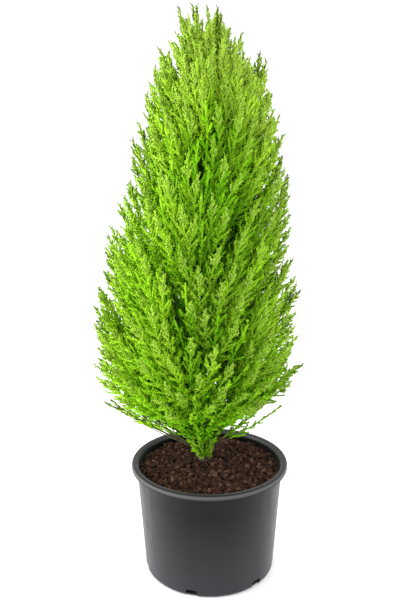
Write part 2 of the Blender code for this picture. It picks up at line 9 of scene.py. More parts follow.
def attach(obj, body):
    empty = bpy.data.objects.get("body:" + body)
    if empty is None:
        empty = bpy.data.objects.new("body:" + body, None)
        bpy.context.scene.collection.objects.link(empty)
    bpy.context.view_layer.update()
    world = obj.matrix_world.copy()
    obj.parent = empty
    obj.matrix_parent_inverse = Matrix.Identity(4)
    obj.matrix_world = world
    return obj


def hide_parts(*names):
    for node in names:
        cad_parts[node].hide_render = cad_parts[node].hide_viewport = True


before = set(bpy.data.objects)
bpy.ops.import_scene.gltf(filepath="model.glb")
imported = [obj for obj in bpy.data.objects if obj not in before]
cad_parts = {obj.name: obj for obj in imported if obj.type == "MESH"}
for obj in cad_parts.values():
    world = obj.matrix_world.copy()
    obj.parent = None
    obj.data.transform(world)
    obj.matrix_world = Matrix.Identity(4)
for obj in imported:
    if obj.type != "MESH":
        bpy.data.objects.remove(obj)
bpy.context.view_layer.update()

# Crown rule, the same as the source's. Metres, with the pot's axis on Z.
TRUNK_LINE = np.array((
    # height, x, y of the trunk's centre line
    (0.155, -0.007, 0.016),
    (0.260, -0.018, 0.012),
    (0.360, -0.021, 0.006),
    (0.470, -0.015, 0.002),
    (0.580, -0.001, 0.000),
    (0.640, 0.003, 0.000),
    (0.690, 0.001, 0.000),
    (0.760, -0.006, 0.000),
    (0.800, -0.014, 0.000),
))
LIMB_STATIONS = np.array((
    # height on the trunk, reach from its centre line, rise, curve: over 1 turns up, under 1 levels off
    (0.168, 0.145, 0.122, 0.70),
    (0.180, 0.148, 0.138, 0.85),
    (0.200, 0.149, 0.150, 1.05),
    (0.225, 0.147, 0.158, 1.25),
    (0.260, 0.140, 0.172, 1.35),
    (0.320, 0.128, 0.180, 1.35),
    (0.385, 0.112, 0.182, 1.35),
    (0.455, 0.101, 0.178, 1.35),
    (0.520, 0.087, 0.168, 1.35),
    (0.575, 0.070, 0.155, 1.35),
    (0.625, 0.040, 0.135, 1.35),
    (0.675, 0.024, 0.110, 1.35),
))
BOUGHS = 22
HIGHEST_BOUGH = 0.575
BOUGH_PHASE = math.radians(-142.5)
GOLDEN_ANGLE = math.pi * (3 - math.sqrt(5))
TRUNK_TOP = 0.660
TRUNK_FOOT = 0.1588
TRUNK_RADIUS = 0.0064
TRUNK_TIP_RADIUS = 0.0016
FLARE = 0.0042
FLARE_HEIGHT = 0.016
CLOSER_ABOVE = 0.50
CLOSER = 1.7
AREA_STEPS = 400
LIMB_SEARCH = (0.05, 0.90)
HALVINGS = 40

# Tips of the upright shoots that make the top, of sprays that stand out and of those from the foot
LEADERS = (
    (-0.0225, 0.004, 0.7975),
    (-0.0165, 0.006, 0.7970),
    (-0.0195, 0.000, 0.7880),
    (-0.0400, -0.004, 0.7930),
    (-0.0385, 0.000, 0.7830),
    (-0.0030, -0.010, 0.7930),
    (-0.0020, -0.008, 0.7840),
    (0.0110, 0.006, 0.7945),
    (0.0080, 0.002, 0.7890),
    (0.0150, 0.002, 0.7860),
    (0.0120, -0.002, 0.7800),
    (-0.0310, 0.022, 0.7820),
    (-0.0030, 0.024, 0.7780),
    (-0.0180, -0.026, 0.7800),
)
STRAYS = (
    (-0.163, -0.010, 0.3160),
    (-0.161, 0.012, 0.3520),
    (-0.156, -0.022, 0.3850),
    (-0.153, -0.012, 0.4180),
    (-0.144, 0.014, 0.4740),
    (-0.139, -0.006, 0.5000),
    (-0.102, -0.010, 0.6300),
    (-0.083, 0.006, 0.6880),
    (-0.072, 0.004, 0.7215),
    (-0.064, -0.008, 0.7435),
    (0.020, -0.010, 0.7640),
    (0.042, 0.004, 0.7630),
    (0.065, -0.004, 0.7375),
    (0.073, -0.010, 0.7285),
    (0.082, 0.010, 0.6860),
    (0.091, -0.008, 0.6580),
    (0.094, 0.008, 0.6280),
    (0.098, 0.004, 0.6070),
    (0.105, -0.006, 0.5830),
    (0.108, 0.000, 0.5550),
    (0.110, 0.004, 0.5280),
    (0.128, 0.010, 0.4200),
    (0.134, 0.000, 0.3140),
    (0.062, -0.130, 0.3000),
    (0.105, 0.090, 0.3000),
    (-0.075, 0.135, 0.3000),
)
LOW_SPRAYS = (
    (-0.153, 0.010, 0.2520),
    (-0.142, -0.006, 0.2620),
    (-0.136, 0.012, 0.2440),
    (-0.122, -0.014, 0.2530),
    (-0.112, 0.016, 0.2420),
    (-0.098, 0.004, 0.2370),
    (-0.082, 0.010, 0.2260),
    (0.104, -0.008, 0.2545),
    (0.088, 0.006, 0.2590),
    (0.074, 0.000, 0.2480),
    (-0.020, 0.110, 0.2500),
    (0.050, 0.085, 0.2440),
)

ANY_ANGLE = (0.0, 6.28)

# Bark relief of the trunk and the boughs
FURROWS = (5, 8, 11)
FURROW_TWIST = 0.10
FURROW_NOISE = 0.25
TRUNK_RINGS, FLARE_RINGS, TRUNK_SIDES = 110, 12, 26
TRUNK_FURROWS = 0.00035
LOBES, LOBE_PHASE, LOBE_DEPTH = 4, 0.6, 0.0008
BOUGH_RINGS, BOUGH_SIDES = 26, 10
BOUGH_FURROWS = 0.00012
BOUGH_WOBBLE = 0.00045
BOUGH_RADII = (0.0027, 0.0015)
BOUGH_SPAN = (0.02, 0.62)
BOUGH_TAPER = (
    # shares of the limb's reach, shares of the bough's radius there
    (0.02, 0.05, 0.20, 0.62),
    (1.35, 1.02, 0.72, 0.30),
)

# Where the plumes stand. They are carried to finer twigs than the source's.
PLUME_LAYERS = (
    # plumes, phase, highest limb, share of its reach at the tip from and to, turn, depth in the crown
    (300, 2.1, 0.675, 0.92, 1.01, 0.06, 0),
    (290, 0.4, 0.65, 0.74, 0.93, 0.10, 1),
    (255, 1.3, 0.60, 0.22, 0.68, 0.10, 2),
)
SKIRT_PLUMES = 40
SKIRT_SHARE, SKIRT_SPAN = 0.20, 0.68
SKIRT_JITTER = 0.014
SKIRT = np.array((
    # distance from the trunk's centre line, height under which the boughs are bare
    (0.000, 0.157),
    (0.009, 0.161),
    (0.013, 0.173),
    (0.017, 0.187),
    (0.023, 0.200),
    (0.040, 0.218),
    (0.058, 0.233),
    (0.100, 0.262),
    (0.150, 0.290),
))
CROWN_PLUMES = 56
CROWN_HEIGHTS = (0.714, 0.784)
CROWN_RADII = (0.066, 0.022)
FOOT_PLUMES = 56
FOOT_HEIGHTS = (0.168, 0.250)
FOOT_SHARES = (0.25, 1.0)

# Where they are rooted, and how wide they are. Inner plumes end under INNER_SHARE of the reach.
INNER_SHARE = 0.74
INNER_SPREAD, FILL_SPREAD, OUTER_SPREAD = 0.85, 0.80, 0.60
INNER_ROOT, FILL_ROOT, OUTER_ROOT = 0.08, 0.34, 0.46
INNER_SPAN = 0.40
BEHIND_SPAN, BEHIND_LEAST = 0.16, 0.04
AXIS_DROP = 0.012
TOP_TIPS = 0.745
TOP_LENGTH = 0.095
TOP_ROOTS = (0.655, 0.72)
TOP_WIDTH = 0.75
FOOT_ROOT, FOOT_ROOT_RISE, FOOT_ROOT_OUT = 0.003, 0.15, 0.008
FOOT_WIDTH = 0.6
BARE = 0.05
STRAY_DARK = 0.10
LEAFY_WIDTH, LEAFY_BARE = 0.52, 0.34
TWIGGY_WIDTH, TWIGGY_BARE, TWIGGY_DARK = 0.42, 0.58, 0.85

# Shoots of a plume
PLUME_ROLL = 0.9
PLUME_BOW = (0.01, 0.06)
PLUME_SWAY = 0.02
PLUME_FLATNESS = 0.85
UPRIGHT, UPRIGHT_TURN = 0.004, 9
ASIDE = (0.13, 0.21, 0.97)
INNER_SCALE = 2.1
SHOOT_SPACING = 0.0052
SHOOT_JITTER = 0.008
LEAST_SHOOTS = 6
LAST_SHOOT = 0.97
SHOOT_ANGLES = (42, 40)
ANGLE_JITTER = 6
TURN_JITTER = 0.25
SHOOT_LENGTHS = (0.7, 1.2)
SHOOT_BEND = 0.40
SHOOT_PROFILE = np.array((
    # share of the plume's length, shoot's length as a share of it
    (0.0, 0.20),
    (0.20, 0.27),
    (0.50, 0.24),
    (0.72, 0.145),
    (0.84, 0.090),
    (0.93, 0.05),
    (1.0, 0.04),
))
# A knob is the tuft at a plume's tip
KNOB_SHOOTS = 10
KNOB_SPAN = (0.028, 0.003)
KNOB_LENGTH = 0.0062
KNOB_LENGTHS = (0.8, 1.2)
STEM_JOINTS = 6
STEM_START = 0.9
STEM_RADIUS = 0.0015
SHOOT_RADIUS = 0.00120
SIDE_RADIUS = 0.00105
SIDE_SPACING, SIDE_THINNING = 0.0040, 1.5
SIDE_LENGTH, SIDE_SHARE = 0.0052, 0.6
SIDE_LENGTHS = (0.6, 1.2)
SIDE_TAPER = (1.1, 0.45, 1)
SIDE_ANGLES = (42, 58)
SIDE_TURN, SIDE_TURN_JITTER = 1.7, 0.3
SIDE_BEND = 0.35
SIDE_LIGHTER = 0.5
STALK_END, STALK_POINTS, STALK_BOW = 0.55, 5, 0.001
STALK_TAPER = (
    # shares of the stalk's length, radii there
    (0, 0.25, 1),
    (0.0013, 0.0011, 0.0008),
)
STALK_SIDES = 4
LONG_TWIG = 0.008
TWIG_WIDEST, TWIG_BASE = 0.82, 0.8
LONG_TWIG_FACES = (
    (0, 1, 4), (0, 4, 3), (1, 2, 5), (1, 5, 4), (2, 0, 3), (2, 3, 5),
    (3, 4, 6), (4, 5, 6), (5, 3, 6),
)
SHORT_TWIG_FACES = ((0, 1, 3), (1, 2, 3), (2, 0, 3))

# Needles
NEEDLE_SPACING, NEEDLE_THINNING = 0.00112, 2.2
LEAST_NEEDLES = 3
FIRST_NEEDLE, LAST_NEEDLE = 0.8, 0.95
NEEDLE_LENGTH = 0.0024
NEEDLE_LENGTHS = (0.8, 1.15)
NEEDLE_TAPER = (1.05, 0.35, 2)
NEEDLE_WIDTH = 0.00176
NEEDLE_WIDTHS = (0.85, 1.15)
NEEDLE_ANGLE = 50
NEEDLE_RISE = (1.05, 0.45, 3)
NEEDLE_TURN, NEEDLE_TURN_JITTER = 0.7, 0.3
NEEDLE_WIDEST = 0.34
NEEDLE_FOLD, NEEDLE_DROOP = 0.5, 0.08
NEEDLE_FACES = ((0, 1, 2), (0, 2, 3))
NORMAL_LIFT = 0.03
NORMAL_SPREAD = 0.6

# Colours, linear, from the crown's inside to its tips. A shade is a place in the shady row, or in the sunny
# row when SUNNY_SHADE is added; the sunny row is a lighter copy of the shady one, painted light.
# TIP_SHADE and DARK_TIP_SHADE stand for the last two.
SHADY_COLOURS = (
    (0.130, 0.440, 0.003),
    (0.155, 0.455, 0.004),
    (0.182, 0.468, 0.006),
    (0.212, 0.480, 0.010),
    (0.246, 0.490, 0.018),
    (0.282, 0.500, 0.032),
    (0.320, 0.510, 0.050),
)
# Painted light: the shady colours made lighter, for sprays on the crown's lit sides
SUNNY_COLOURS = (
    (0.190, 0.560, 0.004),
    (0.225, 0.590, 0.005),
    (0.265, 0.615, 0.008),
    (0.308, 0.638, 0.013),
    (0.352, 0.658, 0.022),
    (0.398, 0.675, 0.038),
    (0.445, 0.690, 0.062),
)
TIP_COLOUR = (0.350, 0.590, 0.058)
DARK_TIP_COLOUR = (0.120, 0.150, 0.048)
ALL_COLOURS = SHADY_COLOURS + SUNNY_COLOURS + (TIP_COLOUR, DARK_TIP_COLOUR)
LIGHTEST = len(SHADY_COLOURS) - 1
SUNNY_SHADE = 20
TIP_SHADE = 99
DARK_TIP_SHADE = 198
ROOT_SHADE, SHADE_RISE, SHADE_JITTER = 1.6, 3.0, 0.5
SPRAY_JITTER = 0.35
# Steps darker for plumes at the outline, under it and well inside: the deeper green of inner growth, and
# painted shade inside the crown
DEPTH_DARK = (0.0, 2.0, 3.2)
# Heights, or distances to the left or right, and how many steps of colour lighter a spray is there
TOP_YELLOW = (0.56, 0.74), (0, 1.6)
# Painted light: on the crown's left, sprays under the outline take lighter colours, the more the deeper
# they lie
LEFT_PAINTED_LIGHT = (0.03, 0.10), (0, 0.7)
RIGHT_YELLOW = (0.02, 0.07), (0, 0.3)
# Painted light: where sprays take the lighter sunny colours
SUNNY_SIDES = (
    # to the left, up, to the right, down: where sunny sprays begin, how far all are sunny, greatest share
    (0.01, 0.055, math.inf),
    (0.55, 0.15, math.inf),
    (0.02, 0.10, 0.12),
    (-0.42, 0.30, 0.40),
)
# Painted shade: sprays in the hollow of the crown's upper front take darker colours and fewer sunny ones
HOLLOW_PAINTED_SHADE = 2.5
HOLLOW_CENTRE = (0.022, 0.630)
HOLLOW_SIZE = (0.042, 0.066)
NEEDLE_SHADE_RISE, NEEDLE_SHADE_CENTRE, NEEDLE_SHADE_JITTER = 1.4, 0.35, 0.6
NEEDLE_DULL = (0.86, 0.88, 0.90)
NEEDLE_FRESH = (1.12, 1.08, 1.10)
WOODY_COLOURS = (0.060, 0.055, 0.024), (0.135, 0.130, 0.055)
YOUNG_COLOURS = (0.050, 0.100, 0.006), (0.100, 0.180, 0.012)
BARK_SHADES = (
    # place on the noise, colour there
    (0.30, (0.010, 0.006, 0.004)),
    (0.52, (0.034, 0.020, 0.012)),
    (0.72, (0.080, 0.052, 0.032)),
)

# Pot. Its drain notches are 1.3 mm higher than the source's.
POT_HEIGHT = 0.1670
RIM_RADIUS = 0.115
WALL_TOP_RADIUS = 0.1067
BASE_RADIUS = 0.0958
WALL = 0.0018
BASE_THICKNESS = 0.0022
CORNER = 0.0034
LIP_DROP = 0.0078
POT_SIDES = 160
SHARP = math.radians(38)
DRAIN_HOLES = 6
DRAIN_WIDTH = 0.0168
DRAIN_HEIGHT = 0.0108
DRAIN_DEPTH = 0.0050
DRAIN_OUTSIDE = 0.006
DRAIN_UNDER = 0.004
DRAIN_ROUND = 0.0030
DRAIN_BEVEL = 0.0009
DRAIN_PHASE = math.radians(-105.5)
RIM_LEVEL = 0.86
# Lighter towards the base, as pale dust and as a painted reflection of the pale floor; near black towards
# the rim, as painted shade
DUST_AND_PAINTED_LIGHT_SHADES = (
    # level, which rises from 0 at the base to RIM_LEVEL at the rim, and colour there
    (0.08, (0.028, 0.028, 0.033)),
    (0.40, (0.014, 0.014, 0.016)),
    (0.70, (0.0012, 0.0010, 0.0010)),
)
BLACK, WHITE = (0.0, 0.0, 0.0), (1.0, 1.0, 1.0)
# Painted highlight: a pale band along the lip's rounded outer edge
PAINTED_LIP_HIGHLIGHT_BAND = ((0.826, BLACK), (0.842, WHITE), (0.852, WHITE), (0.858, BLACK))
PAINTED_LIP_HIGHLIGHT_COLOUR = (0.078, 0.078, 0.080, 1.0)
GLOSS = (0.35, (0.32,) * 3), (0.70, (0.44,) * 3)

# Potting mix
MIX_DOME = (
    # distances from the pot's axis, heights there
    (0.0, 0.052, 0.085, 0.1035),
    (0.1590, 0.1588, 0.1580, 0.1568),
)
MIX_LUMP, MIX_SMALL_LUMP = 0.0009, 0.0006
MIX_RADIUS = 0.1036
MIX_RINGS, MIX_SIDES = 26, 90
MIX_BED_DROP = 0.0035
MIX_BED_GRAIN = 0.0004
MIX_SHADES = (
    (0.30, (0.004, 0.0025, 0.0018)),
    (0.52, (0.024, 0.012, 0.007)),
    (0.74, (0.075, 0.040, 0.024)),
)
CHIP_KINDS = (
    # chips, darkest and lightest colour
    (1050, (0.013, 0.0056, 0.0034), (0.040, 0.0168, 0.0102)),
    (1100, (0.025, 0.0105, 0.0060), (0.072, 0.031, 0.0180)),
    (320, (0.056, 0.027, 0.0165), (0.150, 0.082, 0.0540)),
)
CHIP_SPREAD = 0.1000
CHIP_SIZES = (0.0022, 0.0052)
CHIP_WIDTHS = (0.55, 0.95)
CHIP_HEIGHTS = (0.35, 0.62)
CHIP_SQUARENESS = (0.55, 0.9)
CHIP_ROUGHNESS = (0.72, 1.18)
CHIP_TILT = 0.45
CHIP_DEPTH = 0.0012
CHIP_LIFT = (-0.0016, 0.0012)
NEAR_WALL, NEAR_WALL_SIZE = 0.092, 0.7

# Camera, as fitted to the photograph, and light
PHOTO_WIDTH, PHOTO_HEIGHT = 401, 601
FOCAL_PX = 734.0
POT_AXIS_PX = 209.5
CAMERA_DISTANCE = 1.0
CAMERA_HEIGHT = 0.650
CAMERA_PITCH = math.radians(13.62)
SENSOR_HEIGHT = 36.0
FLOOR_SIZE = 30.0
FLOOR_COLOUR = (0.98, 0.98, 0.98, 1.0)
WORLD_STRENGTH = 1.42
LIGHTS = (
    # name, place, point that it faces, width and height, power
    ("key", (-2.35, -0.3, 1.0), (0, 0, 0.38), (2.2, 1.6), 70),
    ("fill", (2.0, -0.7, 0.8), (0, 0, 0.3), (0.8, 0.8), 9),
    ("top", (0.1, 0.2, 2.3), (0, 0, 0.4), (1.4, 1.4), 14),
)

rng = np.random.default_rng(11)


# Crown rule

def reach_at(h):
    return np.interp(h, LIMB_STATIONS[:, 0], LIMB_STATIONS[:, 1])


def climb_at(h, share):
    """How far the limb from height h has risen at a share of its reach."""
    rise, curve = (np.interp(h, LIMB_STATIONS[:, 0], LIMB_STATIONS[:, column]) for column in (2, 3))
    return rise * share**curve


def axis_at(z):
    """x and y of the trunk's centre line at a height."""
    height, x, y = TRUNK_LINE.T
    return np.interp(z, height, x), np.interp(z, height, y)


def crown_point(h, share, azimuth):
    """The point at a share of the reach of the limb from height h."""
    z = h + climb_at(h, share)
    r = reach_at(h) * share
    x, y = axis_at(z)
    return np.stack(np.broadcast_arrays(x + r * np.cos(azimuth), y + r * np.sin(azimuth), z), axis=-1)


def crown_place(points):
    """The limb that a point lies on: its height on the trunk, the share of its reach and its azimuth."""
    x, y = axis_at(points[..., 2])
    dx, dy = points[..., 0] - x, points[..., 1] - y
    r = np.hypot(dx, dy)
    low, high = (np.full(r.shape, limit) for limit in LIMB_SEARCH)
    for _ in range(HALVINGS):
        middle = (low + high) / 2
        too_high = middle + climb_at(middle, r / reach_at(middle)) > points[..., 2]
        high = np.where(too_high, middle, high)
        low = np.where(too_high, low, middle)
    return low, r / reach_at(low), np.arctan2(dy, dx)


def even_places(count, phase, highest, closer=1.0):
    """Heights and azimuths of limbs whose tips stand evenly on the crown, or closer in its upper part."""
    h = np.linspace(LIMB_STATIONS[0, 0], highest, AREA_STEPS)
    r, z = reach_at(h), h + climb_at(h, 1.0)
    strip = (r[1:] + r[:-1]) / 2 * np.hypot(np.diff(r), np.diff(z))
    strip *= np.where(h[1:] > CLOSER_ABOVE, closer, 1.0)
    area = np.concatenate([[0.0], np.cumsum(strip)]) / strip.sum()
    number = np.arange(count)
    return np.interp((number + 0.5) / count, area, h), (number * GOLDEN_ANGLE + phase) % (2 * math.pi)


mass_heights, mass_azimuths = even_places(BOUGHS, BOUGH_PHASE, HIGHEST_BOUGH)
mass_tips = crown_point(mass_heights, np.ones(BOUGHS), mass_azimuths)


# Meshes

def placed(name, data):
    """A new object in the scene."""
    obj = bpy.data.objects.new(name, data)
    bpy.context.scene.collection.objects.link(obj)
    return obj


def array_mesh(name, points, triangles, materials, smooth=False, material_index=None, normals=None):
    mesh = bpy.data.meshes.new(name)
    mesh.vertices.add(len(points))
    mesh.vertices.foreach_set("co", np.ascontiguousarray(points, np.float32).ravel())
    mesh.loops.add(triangles.size)
    mesh.loops.foreach_set("vertex_index", np.ascontiguousarray(triangles, np.int32).ravel())
    mesh.polygons.add(len(triangles))
    mesh.polygons.foreach_set("loop_start", np.arange(0, triangles.size, 3, dtype=np.int32))
    mesh.polygons.foreach_set("use_smooth", np.full(len(triangles), smooth))
    for material in materials if isinstance(materials, list) else [materials]:
        mesh.materials.append(material)
    if material_index is not None:
        mesh.polygons.foreach_set("material_index", np.ascontiguousarray(material_index, np.int32))
    mesh.update(calc_edges=True)
    if normals is not None:
        kept = mesh.attributes.new("custom_normal", "FLOAT_VECTOR", "POINT")
        kept.data.foreach_set("vector", np.ascontiguousarray(normals, np.float32).ravel())
        mesh.update()
    return placed(name, mesh)


def block_object(name, block):
    """The object that a bmesh describes, with its faces turned outwards."""
    bmesh.ops.recalc_face_normals(block, faces=block.faces)
    mesh = bpy.data.meshes.new(name)
    block.to_mesh(mesh)
    block.free()
    return placed(name, mesh)


def unit(vectors):
    return vectors / np.maximum(np.linalg.norm(vectors, axis=-1, keepdims=True), 1e-12)


def between(first, second, angle):
    """Directions turned by the angles from the first towards the second."""
    return first * np.cos(angle)[..., None] + second * np.sin(angle)[..., None]


def ring_angles(sides):
    return 2 * np.pi * np.arange(sides) / sides


def ring_faces(index):
    """Two triangles for each side between rings that follow each other."""
    a, b = index[:-1], index[1:]
    c, d = np.roll(a, -1, axis=1), np.roll(b, -1, axis=1)
    return np.stack([np.stack([a, c, d], -1), np.stack([a, d, b], -1)]).reshape(-1, 3)


def tube(line, radii, sides, relief=None):
    """Points and triangles of a tube along a line, closed at both ends. relief is added to the radius."""
    line = np.asarray(line, float)
    count = len(line)
    tangent = unit(np.gradient(line, axis=0))
    side = unit(np.cross(tangent, (0.31, 0.95, 0.05)))
    other = np.cross(tangent, side)
    radius = np.broadcast_to(np.asarray(radii, float)[:, None], (count, sides)).copy()
    if relief is not None:
        radius += relief
    points = line[:, None] + between(side[:, None], other[:, None], ring_angles(sides)) * radius[..., None]
    index = np.arange(count * sides).reshape(count, sides)
    ends = count * sides
    first = np.stack([index[0], np.full(sides, ends), np.roll(index[0], -1)], -1)
    last = np.stack([index[-1], np.roll(index[-1], -1), np.full(sides, ends + 1)], -1)
    points = np.concatenate([points.reshape(-1, 3), line[:1], line[-1:]])
    return points, np.concatenate([ring_faces(index), first, last])


def joined(pieces):
    points, triangles, start = [], [], 0
    for p, t in pieces:
        points.append(p)
        triangles.append(t + start)
        start += len(p)
    return np.concatenate(points), np.concatenate(triangles)


# Materials

def node_material(name, roughness):
    material = bpy.data.materials.new(name)
    material.use_nodes = True
    tree = material.node_tree
    shader = tree.nodes["Principled BSDF"]
    shader.inputs["Roughness"].default_value = roughness
    return material, tree, shader


def noise(tree, scale, detail=3.0, roughness=0.5, stretch=None):
    place = tree.nodes.new("ShaderNodeTexCoord")
    texture = tree.nodes.new("ShaderNodeTexNoise")
    texture.inputs["Scale"].default_value = scale
    texture.inputs["Detail"].default_value = detail
    texture.inputs["Roughness"].default_value = roughness
    if stretch is None:
        tree.links.new(place.outputs["Object"], texture.inputs["Vector"])
    else:
        mapping = tree.nodes.new("ShaderNodeMapping")
        mapping.inputs["Scale"].default_value = stretch
        tree.links.new(place.outputs["Object"], mapping.inputs["Vector"])
        tree.links.new(mapping.outputs["Vector"], texture.inputs["Vector"])
    return texture.outputs["Fac"]


def ramp(tree, factor, stops):
    node = tree.nodes.new("ShaderNodeValToRGB")
    elements = node.color_ramp.elements
    while len(elements) < len(stops):
        elements.new(0.5)
    for element, (position, colour) in zip(elements, stops):
        element.position = position
        element.color = (*colour, 1.0)
    tree.links.new(factor, node.inputs["Fac"])
    return node.outputs["Color"]


def colour_by(tree, shader, factor, stops):
    tree.links.new(ramp(tree, factor, stops), shader.inputs["Base Color"])


def bump(tree, shader, height, strength, distance):
    node = tree.nodes.new("ShaderNodeBump")
    node.inputs["Strength"].default_value = strength
    node.inputs["Distance"].default_value = distance
    tree.links.new(height, node.inputs["Height"])
    tree.links.new(node.outputs["Normal"], shader.inputs["Normal"])


def needle_material(name, colour):
    material, tree, shader = node_material(name, roughness=0.6)
    shader.inputs["Specular IOR Level"].default_value = 0.06
    base = np.array(colour)
    dull, fresh = base * NEEDLE_DULL, np.minimum(base * NEEDLE_FRESH, 1.0)
    colour_by(tree, shader, noise(tree, scale=160, detail=2.0), ((0.36, dull), (0.64, fresh)))
    return material


def twig_material(name, inner, outer):
    material, tree, shader = node_material(name, roughness=0.7)
    colour_by(tree, shader, noise(tree, scale=260, detail=3.0), ((0.35, inner), (0.65, outer)))
    return material


def bark_material():
    material, tree, shader = node_material("bark", roughness=0.88)
    furrows = noise(tree, scale=420, detail=6.0, roughness=0.62, stretch=(1.0, 1.0, 0.16))
    colour_by(tree, shader, furrows, BARK_SHADES)
    bump(tree, shader, furrows, strength=0.8, distance=0.0006)
    return material


# Trunk and boughs

def trunk_radius(z):
    share = (z - TRUNK_FOOT) / (TRUNK_TOP - TRUNK_FOOT)
    flare = np.maximum(0.0, 1 - (z - TRUNK_FOOT) / FLARE_HEIGHT)
    return TRUNK_RADIUS + (TRUNK_TIP_RADIUS - TRUNK_RADIUS) * share + FLARE * flare**2


def bark_relief(rings, sides, depth):
    """Furrows that run mostly along the limb."""
    angle = ring_angles(sides)
    along = np.arange(rings)[:, None]
    relief = np.zeros((rings, sides))
    for count in FURROWS:
        twist = rng.uniform(-FURROW_TWIST, FURROW_TWIST)
        relief += np.sin(angle * count + along * twist + rng.uniform(*ANY_ANGLE)) / len(FURROWS)
    return depth * (relief + rng.normal(0, FURROW_NOISE, (rings, sides)))


def make_trunk(material):
    flare = TRUNK_FOOT + np.linspace(0, FLARE_HEIGHT, FLARE_RINGS)[:-1]
    z = np.concatenate([flare, np.linspace(TRUNK_FOOT + FLARE_HEIGHT, TRUNK_TOP, TRUNK_RINGS)])
    x, y = axis_at(z)
    radius = trunk_radius(z)
    relief = bark_relief(len(z), TRUNK_SIDES, TRUNK_FURROWS)
    relief *= np.clip(radius / TRUNK_RADIUS, 0.3, 1.3)[:, None]
    lobes = np.sin(ring_angles(TRUNK_SIDES) * LOBES + LOBE_PHASE) * LOBE_DEPTH
    relief += lobes * np.clip(1 - (z - TRUNK_FOOT) / FLARE_HEIGHT, 0, 1)[:, None]
    points, triangles = tube(np.stack([x, y, z], -1), radius, TRUNK_SIDES, relief)
    trunk = array_mesh("trunk_bark", points, triangles, material, True)
    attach(trunk, "root")
    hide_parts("trunk")


def bough_radius(number):
    thick, thin = BOUGH_RADII
    high = (mass_heights[number] - LIMB_STATIONS[0, 0]) / (TRUNK_TOP - LIMB_STATIONS[0, 0])
    return thick + (thin - thick) * high


def make_boughs(material):
    pieces = []
    for number in range(BOUGHS):
        share = np.linspace(*BOUGH_SPAN, BOUGH_RINGS)
        line = crown_point(mass_heights[number], share, mass_azimuths[number])
        wobble = np.cumsum(rng.normal(0, BOUGH_WOBBLE, (BOUGH_RINGS, 3)), axis=0)
        line += wobble - wobble[0]
        radius = bough_radius(number) * np.interp(share, *BOUGH_TAPER)
        relief = bark_relief(BOUGH_RINGS, BOUGH_SIDES, BOUGH_FURROWS)
        pieces.append(tube(line, radius, BOUGH_SIDES, relief))
    points, triangles = joined(pieces)
    boughs = array_mesh("boughs_bark", points, triangles, material, True)
    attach(boughs, "root")
    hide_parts(*[f"bough_{n + 1:02d}" for n in range(BOUGHS)])


# Sprays

def plume_tips():
    """Tip of each plume, and its depth: 0 at the crown's outline, 1 under it and 2 well inside."""
    tips, depths = [], []

    def add(tip, depth):
        tips.append(np.asarray(tip, float))
        depths.append(depth)

    for count, phase, highest, least, most, turn, depth in PLUME_LAYERS:
        for h, a in zip(*even_places(count, phase, highest, CLOSER)):
            add(crown_point(h, rng.uniform(least, most), a + rng.uniform(-turn, turn)), depth)
    for number in range(SKIRT_PLUMES):
        share = SKIRT_SHARE + SKIRT_SPAN * math.sqrt((number + 0.5) / SKIRT_PLUMES)
        height = LIMB_STATIONS[0, 0] + rng.uniform(0.0, SKIRT_JITTER)
        add(crown_point(height, share, number * GOLDEN_ANGLE), 1)
    kept = above_skirt(np.array(tips))
    tips, depths = list(np.array(tips)[kept]), list(np.array(depths)[kept])
    for number in range(CROWN_PLUMES):
        height = evenly(CROWN_HEIGHTS, number, CROWN_PLUMES)
        radius = np.interp(height, CROWN_HEIGHTS, CROWN_RADII)
        add(round_axis(height, radius, number * GOLDEN_ANGLE), 0)
    for number in range(FOOT_PLUMES):
        height = evenly(FOOT_HEIGHTS, number, FOOT_PLUMES)
        widest = np.interp(height, SKIRT[:, 1], SKIRT[:, 0])
        add(round_axis(height, rng.uniform(*FOOT_SHARES) * widest, number * GOLDEN_ANGLE), 0)
    for tip in LEADERS + STRAYS + LOW_SPRAYS:
        add(tip, 0)
    return np.array(tips), np.array(depths)


